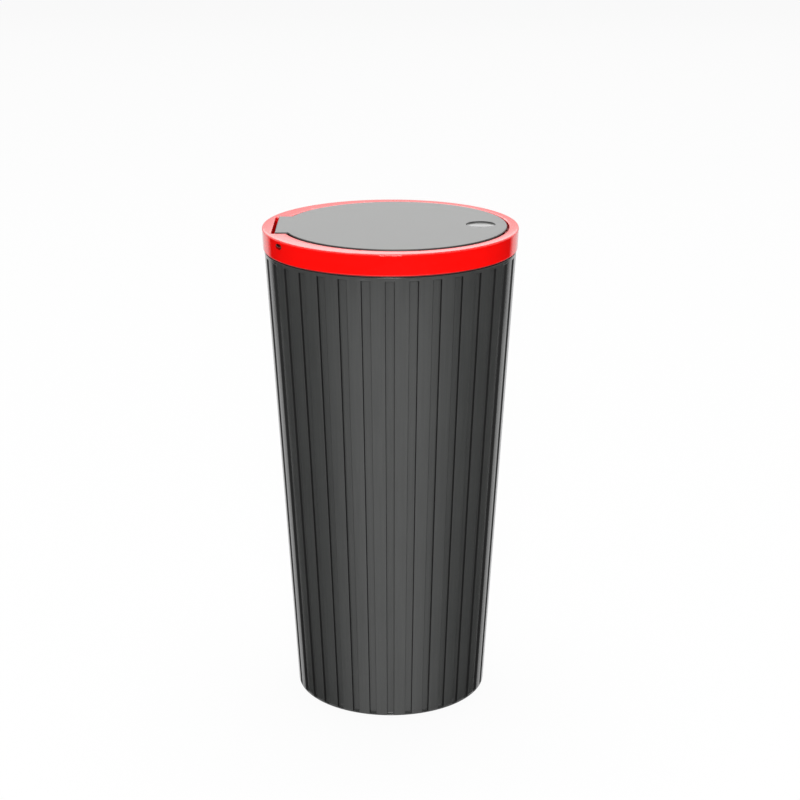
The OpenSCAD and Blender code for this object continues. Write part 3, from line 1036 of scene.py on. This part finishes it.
def cam_track(lid, hinge):
    """The heart-shaped track: a lane each side of an island, and a way out at the foot"""
    catch = wire_high.z - hinge.catch_wire / 2
    wire = hinge.catch_wire / 2
    lane = lid.lane
    notch = -(wire * math.sqrt(2) + 0.05 * MM)
    lobe = lane * 0.65
    island = lobe + 0.3 * MM
    island_low = -3.2 * MM
    wide = island + lane
    tooth = (lid.blade_place - HINGE.x) * math.sin(math.radians(1.5)) + wire + 0.2 * MM
    way_out = lane * 0.8
    foot = lid_low.z - catch - 1 * MM
    outer = [
        (-wide, -2 * MM), (-wide, tooth), (-lane, tooth + 0.7 * MM), (0.3 * MM, tooth),
        (0.7 * MM, tooth + 0.6 * MM), (wide, 1.2 * MM), (wide, -2 * MM),
        (way_out, island_low - 1 * MM), (way_out, foot), (-way_out, foot), (-way_out, island_low - 1 * MM),
    ]
    heart = [
        (0, notch), (lobe, notch + lobe), (island, notch + lobe - 0.3 * MM), (island, -1.6 * MM),
        (-0.3 * MM, island_low), (-island, -1.6 * MM), (-island, notch + lobe - 0.3 * MM),
        (-lobe, notch + lobe),
    ]
    floor = lid.blade_place - lid.track_depth
    track = upright_stack("track", outer, floor, floor + 3 * MM, catch)
    combine(track, upright_stack("island", heart, floor - 1 * MM, floor + 4 * MM, catch))
    return track


def upright_stack(name, outline, start, end, catch):
    """A solid over an outline of (across, up) points, which runs from one x to another"""
    points = [(x, y, z + catch) for x in (start, end) for y, z in outline]
    count = len(outline)
    return new_piece(name, points, [tuple(range(count)), tuple(range(count, 2 * count)), *bands(2, count)])


def lid_tools(lid, hinge):
    """The cutters of the lid: pin bore, relief beside the tab, spring bay and the groove of its leg"""
    reach = 45 * MM
    tools = [rod("bore", PIN_RADIUS + hinge.bore_gap, 2 * reach, on_hinge(-reach))]
    for start in (lid.tab_width / 2, -lid.tab_width / 2 - reach):
        tools.append(rod("relief", hinge.swing_radius, reach, on_hinge(start), 128))
    bay = hinge.coil_radius + hinge.spring_wire / 2 + 0.07 * MM
    bay_half = (lid.tab_width - 2 * hinge.knuckle_length) / 2
    tools.append(block(
        "bay",
        (HINGE.x - 7 * MM, -bay_half, HINGE.z - 5 * MM),
        (HINGE.x + bay, bay_half, HINGE.z + bay),
    ))
    slot = hinge.spring_wire + 0.4 * MM
    leg_y = hinge.coil_length / 2
    tools.append(block(
        "leg_groove",
        (HINGE.x, leg_y - slot / 2, HINGE.z),
        (HINGE.x + hinge.leg + 1 * MM, leg_y + slot / 2, HINGE.z + bay),
    ))
    return tools


class TRASHBIN_OT_lid(bpy.types.Operator):
    """Builds the lid with its dimple, knuckles, rib and catch blade"""

    bl_idname = "trash_bin.lid"
    bl_label = "Lid"

    def execute(self, context):
        settings = context.scene.trash_bin
        sizes, hinge, ring = settings.lid, settings.hinge, settings.ring
        under = lid_high.z - sizes.thickness
        lid = lid_plate(sizes, ring)
        parts = [stiffening_rib(sizes, ring, under), catch_blade(sizes, under)]
        parts += [knuckle(hinge, sizes, side) for side in (-1, 1)]
        for part in parts:
            combine(lid, part, "UNION")
        for tool in [*lid_tools(sizes, hinge), cam_track(sizes, hinge)]:
            combine(lid, tool)
        finishes = settings.finishes
        dimple = Vector((ring.pocket_shift + sizes.radius - sizes.dimple_inset, 0, 0))
        # Colour of the painted shade on the lid's edges, underside and the dimple's step
        dark = scaled(finishes.charcoal, 0.5)
        plastic = grained_lid(finishes.lid_grey, dark, dimple, sizes.dimple_radius)
        hand_over(lid, plastic, "flap", "lid_plastic", "lid")
        return {"FINISHED"}


# Hinge and catch


class TRASHBIN_OT_hinge(bpy.types.Operator):
    """Builds the hinge pin and the torsion spring round it"""

    bl_idname = "trash_bin.hinge"
    bl_label = "Hinge"

    def execute(self, context):
        hinge = context.scene.trash_bin.hinge
        finishes = context.scene.trash_bin.finishes
        # The pin's cut end gets painted shade of its bore
        cut = (pin_low.y, tuple(finishes.pin_end_shade))
        pin_steel = drawn_steel("pin_steel", finishes.steel, Vector((1, 0.04, 1)), 0.22, cut)
        spring_steel = drawn_steel("spring_steel", finishes.spring_steel, Vector((1, 1, 0.3)), 0.26)
        pin_place = on_hinge(pin_low.y)
        pin = rod("steel_pin", PIN_RADIUS, pin_high.y - pin_low.y, pin_place, 64, hinge.pin_bevel)
        hand_over(pin, pin_steel, "ring", "pin_steel", "hinge_pin")
        full_turn = 2 * math.pi * hinge.turns + math.pi / 2
        moving_turn = math.pi / 2
        overlap = math.radians(10)
        half = hinge.coil_length / 2

        def coil(wound):
            """The point of the coil after that much winding from the fixed leg"""
            a = math.pi - wound
            y = -half + hinge.coil_length * wound / full_turn
            x, z = hinge.coil_radius * math.cos(a), hinge.coil_radius * math.sin(a)
            return HINGE_LINE + Vector((x, y, z))

        steps = 32 * hinge.turns
        fixed_turn = full_turn - moving_turn
        fixed = [coil(fixed_turn * k / steps) for k in range(steps + 1)]
        foot = fixed[0] - Vector((0, 0, hinge.leg))
        fixed = [foot.lerp(fixed[0], k / 4) for k in range(4)] + fixed
        moving_start = fixed_turn - overlap
        moving = [coil(moving_start + (full_turn - moving_start) * k / 12) for k in range(13)]
        tip = moving[-1] + Vector((hinge.leg, 0, 0))
        moving += [moving[-1].lerp(tip, k / 4) for k in range(1, 5)]
        coil_piece = sweep("spring_coil", fixed, hinge.spring_wire / 2, 12)
        hand_over(coil_piece, spring_steel, "ring", "spring_steel", "hinge_spring")
        leg_piece = sweep("spring_leg", moving, hinge.spring_wire / 2, 12)
        hand_over(leg_piece, spring_steel, "flap", "spring_steel", "hinge_spring")
        return {"FINISHED"}


class TRASHBIN_OT_catch(bpy.types.Operator):
    """Builds the bent wire that rides in the lid's cam track"""

    bl_idname = "trash_bin.catch"
    bl_label = "Catch"

    def execute(self, context):
        settings = context.scene.trash_bin
        hinge, ring = settings.hinge, settings.ring
        radius = hinge.catch_wire / 2
        upright = wire_high.x + 0.1 * MM - ring.tongue_thickness - 0.3 * MM - radius
        foot_z, tip_z = wire_low.z + radius, wire_high.z - radius
        path = rounded([
            (wire_high.x - 0.3 * radius, foot_z, 0),
            (upright, foot_z, hinge.bend),
            (upright, tip_z, hinge.bend),
            (wire_low.x + 0.3 * radius, tip_z, 0),
        ], 8)
        wire = sweep("catch_wire", [Vector((p.x, 0, p.y)) for p in path], radius, 24)
        steel = drawn_steel("catch_steel", settings.finishes.spring_steel, Vector((1, 1, 0.04)), 0.26)
        hand_over(wire, steel, "ring", "spring_steel", "latch_wire")
        return {"FINISHED"}


# Stage


def seen_directly(finish):
    """1 where the camera, gloss or clear plastic looks, and 0 for light that falls on the object"""
    kinds = [
        finish.node("ShaderNodeLightPath", {}, {}, name)
        for name in ("Is Camera Ray", "Is Glossy Ray", "Is Transmission Ray")
    ]
    return (kinds[0] + kinds[1] + kinds[2]).clamped()


def lamp(name, power, width, height, place, aim):
    """A soft rectangular lamp at a place, turned towards an aim"""
    light = bpy.data.lights.new(name, "AREA")
    light.shape = "RECTANGLE"
    light.size = width
    light.size_y = height
    light.energy = power
    holder = bpy.data.objects.new(name, light)
    holder.location = place
    holder.rotation_euler = (Vector(aim) - Vector(place)).to_track_quat("-Z", "Y").to_euler()
    holder.visible_camera = False
    bpy.context.scene.collection.objects.link(holder)
    return holder


def graded_card(stage):
    """A dark card that lies on the floor and only shows in gloss, graded like a soft studio's dark side

    Each column is the line on the floor that mirrors in the cup's side at one turn from the front, and each
    row a reach from the cup. Up to card_front it darkens from the front to the sides; beyond it is dark.
    Towards its ends it fades out over that number of columns.
    """
    half_count = 48
    narrow, wide = 3, 7
    lift = 0.5 * MM
    near_rows = ((0, 0, wide), (stage.card_front * 0.94, 0, wide))
    rows = (*near_rows, (stage.card_front, 1, narrow), (stage.card_far, 1, narrow))
    points, faces, covers = [], [], []
    for k in range(-half_count, half_count + 1):
        turn = stage.card_turn * k / half_count
        side = min(1, max(0, (abs(turn) - stage.card_start) / (stage.card_full - stage.card_start)))
        for reach, least, fade in rows:
            x = stage.card_near * math.sin(turn) + reach * math.sin(2 * turn)
            y = -stage.card_near * math.cos(turn) - reach * math.cos(2 * turn)
            points.append((x, y, lift))
            covers.append(min(1, (half_count - abs(k)) / fade) * max(least, side))
    step = len(rows)
    for start in range(0, len(points) - step, step):
        faces += [(k, k + step, k + step + 1, k + 1) for k in range(start, start + step - 1)]
    card = new_piece("graded_card", points, faces)
    cover = card.data.attributes.new("cover", "FLOAT", "POINT")
    cover.data.foreach_set("value", covers)
    material, finish = new_finish("graded_card")
    factor = finish.node("ShaderNodeAttribute", {"attribute_name": "cover"}, {}, "Fac")
    clear = finish.node("ShaderNodeBsdfTransparent", {}, {"Color": (1.0, 1.0, 1.0)})
    finish.output(clear, factor, finish.matt(0.02))
    card.data.materials.append(material)
    card.visible_camera = card.visible_diffuse = card.visible_transmission = card.visible_shadow = False


class TRASHBIN_OT_stage(bpy.types.Operator):
    """Builds the camera, the pale floor, the even surroundings, the soft lamps and the dark card"""

    bl_idname = "trash_bin.stage"
    bl_label = "Stage"

    def execute(self, context):
        stage = context.scene.trash_bin.stage
        camera_data = bpy.data.cameras.new("camera")
        camera_data.lens = stage.lens
        camera_data.sensor_width = 36
        camera = bpy.data.objects.new("camera", camera_data)
        camera.location = stage.camera_place
        camera.rotation_euler = (math.pi / 2 - stage.camera_pitch, 0, 0)
        context.scene.collection.objects.link(camera)
        context.scene.camera = camera
        self.build_floor(stage)
        self.build_world(context.scene, stage)
        lamp("top_box", stage.top_box, 1.2, 1.2, (0, 0.25, 1.5), (0, 0, 0.12))
        lamp("front_box", stage.front_box, 0.5, 0.9, (0, -1.5, 0.55), (0, 0, 0.08))
        lamp("back_box", stage.back_box, 3.2, 1.1, (0, 2.2, 1.21), (0, 0, 1.21))
        graded_card(stage)
        context.scene.view_settings.view_transform = "Standard"
        return {"FINISHED"}

    def build_floor(self, stage):
        half = stage.floor_size / 2
        corners = [(x * half, y * half, 0) for x, y in ((-1, -1), (1, -1), (1, 1), (-1, 1))]
        floor = new_piece("floor", corners, [(0, 1, 2, 3)])
        material, finish = new_finish("pale_floor")
        white = finish.node("ShaderNodeEmission", {}, {"Color": (1.0, 1.0, 1.0), "Strength": 1.0})
        finish.output(finish.matt(0.95), seen_directly(finish) * stage.floor_glow, white)
        floor.data.materials.append(material)

    def build_world(self, scene, stage):
        world = bpy.data.worlds.new("surroundings")
        world.use_nodes = True
        finish = Finish(world.node_tree)
        strength = stage.world_fill + seen_directly(finish) * (1 - stage.world_fill)
        light = finish.node("ShaderNodeBackground", {}, {"Color": (1.0, 1.0, 1.0), "Strength": strength})
        finish.node("ShaderNodeOutputWorld", {}, {"Surface": light})
        scene.world = world


class TRASHBIN_PT_panel(bpy.types.Panel):
    """Settings of the car trash bin, with a button for each group of pieces"""

    bl_label = "Car Trash Bin"
    bl_idname = "TRASHBIN_PT_panel"
    bl_space_type = "VIEW_3D"
    bl_region_type = "UI"
    bl_category = "Trash Bin"

    def draw(self, context):
        settings = context.scene.trash_bin
        groups = [
            (settings.cup, "trash_bin.cup"),
            (settings.ring, "trash_bin.ring"),
            (settings.lid, "trash_bin.lid"),
            (settings.hinge, "trash_bin.hinge"),
            (settings.finishes, "trash_bin.catch"),
            (settings.stage, "trash_bin.stage"),
        ]
        for group, operator in groups:
            box = self.layout.box()
            for name in group.__annotations__:
                box.prop(group, name)
            box.operator(operator)


CLASSES = (
    CupSizes,
    RingSizes,
    LidSizes,
    HingeSizes,
    Finishes,
    StageSettings,
    TrashBin,
    TRASHBIN_OT_cup,
    TRASHBIN_OT_ring,
    TRASHBIN_OT_lid,
    TRASHBIN_OT_hinge,
    TRASHBIN_OT_catch,
    TRASHBIN_OT_stage,
    TRASHBIN_PT_panel,
)


def register():
    for made in CLASSES:
        bpy.utils.register_class(made)
    bpy.types.Scene.trash_bin = PointerProperty(type=TrashBin)


def unregister():
    del bpy.types.Scene.trash_bin
    for made in reversed(CLASSES):
        bpy.utils.unregister_class(made)


def main():
    register()
    bpy.ops.trash_bin.stage()
    bpy.ops.trash_bin.cup()
    bpy.ops.trash_bin.ring()
    bpy.ops.trash_bin.lid()
    bpy.ops.trash_bin.hinge()
    bpy.ops.trash_bin.catch()


if __name__ == "__main__":
    main()
